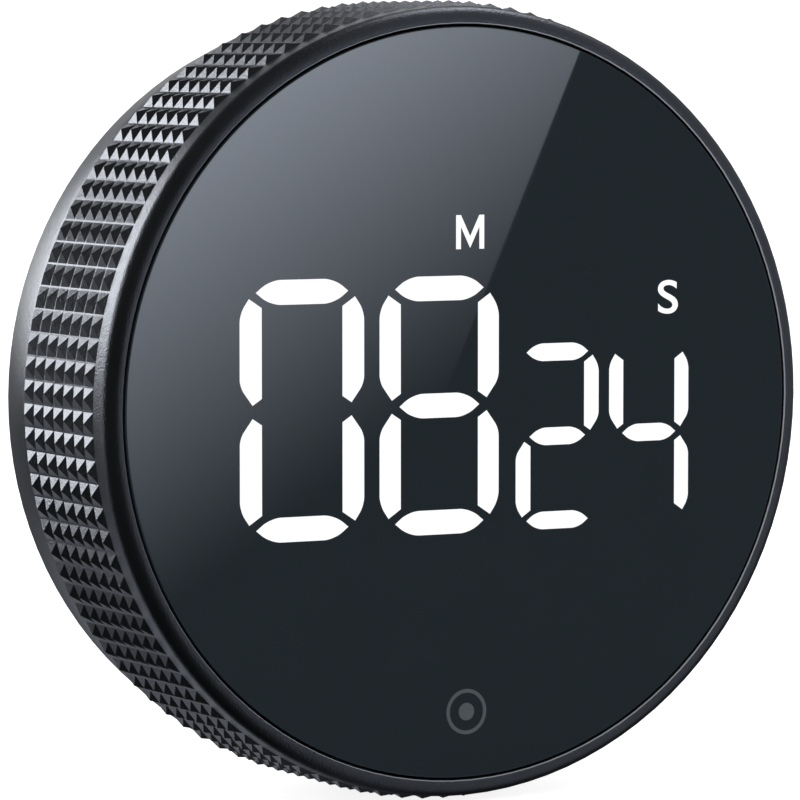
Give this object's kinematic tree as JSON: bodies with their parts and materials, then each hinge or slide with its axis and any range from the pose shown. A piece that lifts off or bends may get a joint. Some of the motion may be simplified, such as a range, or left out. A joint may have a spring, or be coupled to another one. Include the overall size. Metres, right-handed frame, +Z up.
{
  "type": "round magnetic kitchen timer",
  "caption": "Round countdown timer with a flat glossy face, glowing digits, a knurled twist ring, a touch key and a magnetic back.",
  "frame": {"origin": "centre of the flat magnetic back, on the ring's axis", "axes": "+Y out of the back, so the face looks along -Y; +Z up through the digits; +X to the right as the face is read"},
  "size_m": [0.078, 0.027, 0.078],
  "materials": {
    "black_abs": "fine textured",
    "natural_acetal": "smooth",
    "black_lead": "smooth",
    "cell_wrap": "printed wrap",
    "chip_black": "moulded",
    "circuit_board": "solder mask",
    "ring_anodised": "fine blasted, dark grey anodised",
    "face_lens": "polished",
    "nickel_plate": "nickel plated",
    "red_lead": "smooth",
    "zinc_steel": "zinc plated",
    "white_abs": "smooth"
  },
  "bodies": {
    "housing": {"back_cover": "black_abs", "battery_cell_1": "cell_wrap", "battery_cell_2": "cell_wrap", "battery_cell_3": "cell_wrap", "buzzer": "chip_black", "contact_minus_1": "nickel_plate", "contact_minus_2": "nickel_plate", "contact_minus_3": "nickel_plate", "contact_plus_1": "nickel_plate", "contact_plus_2": "nickel_plate", "contact_plus_3": "nickel_plate", "contact_spring_1": "nickel_plate", "contact_spring_2": "nickel_plate", "contact_spring_3": "nickel_plate", "controller_chip": "chip_black", "cover_screw_1": "zinc_steel", "cover_screw_2": "zinc_steel", "cover_screw_3": "zinc_steel", "cover_screw_4": "zinc_steel", "diffuser_sheet": "white_abs", "display_reflector": "white_abs", "encoder_body": "zinc_steel", "front_housing": "black_abs", "lens": "face_lens", "magnet_lower": "nickel_plate", "magnet_upper": "nickel_plate", "main_pcb": "circuit_board", "power_lead_minus": "black_lead", "power_lead_plus": "red_lead", "slide_washer": "natural_acetal", "sound_switch_body": "zinc_steel", "switch_lead_1": "black_lead", "switch_lead_2": "black_lead", "touch_spring": "nickel_plate"},
    "twist_ring": {"knurled_ring": "ring_anodised", "ring_gear": "natural_acetal"},
    "encoder_rotor": {"encoder_shaft": "zinc_steel", "encoder_pinion": "natural_acetal"},
    "sound_slider": {"sound_switch_knob": "black_abs"},
    "door": {"battery_door": "black_abs"}
  },
  "joints": [
    {"name": "ring_turn", "type": "hinge", "parent": "housing", "child": "twist_ring", "pos_m": [0, 0, 0], "axis": [0, 1, 0], "continuous": true},
    {"name": "encoder_turn", "type": "hinge", "parent": "housing", "child": "encoder_rotor", "pos_m": [0, -0.0106, 0.027], "axis": [0, 1, 0], "continuous": true},
    {"name": "sound_slide", "type": "slide", "parent": "housing", "child": "sound_slider", "axis": [0, 0, 1], "range_m": [-0.002, 0.002]},
    {"name": "door_hinge", "type": "hinge", "parent": "housing", "child": "door", "pos_m": [0.0248, -0.0009, 0], "axis": [0, 0, -1], "range_deg": [0, 95]}
  ],
  "couplings": [
    {"joint": "encoder_turn", "follows": "ring_turn", "ratio": 4.8571}
  ]
}
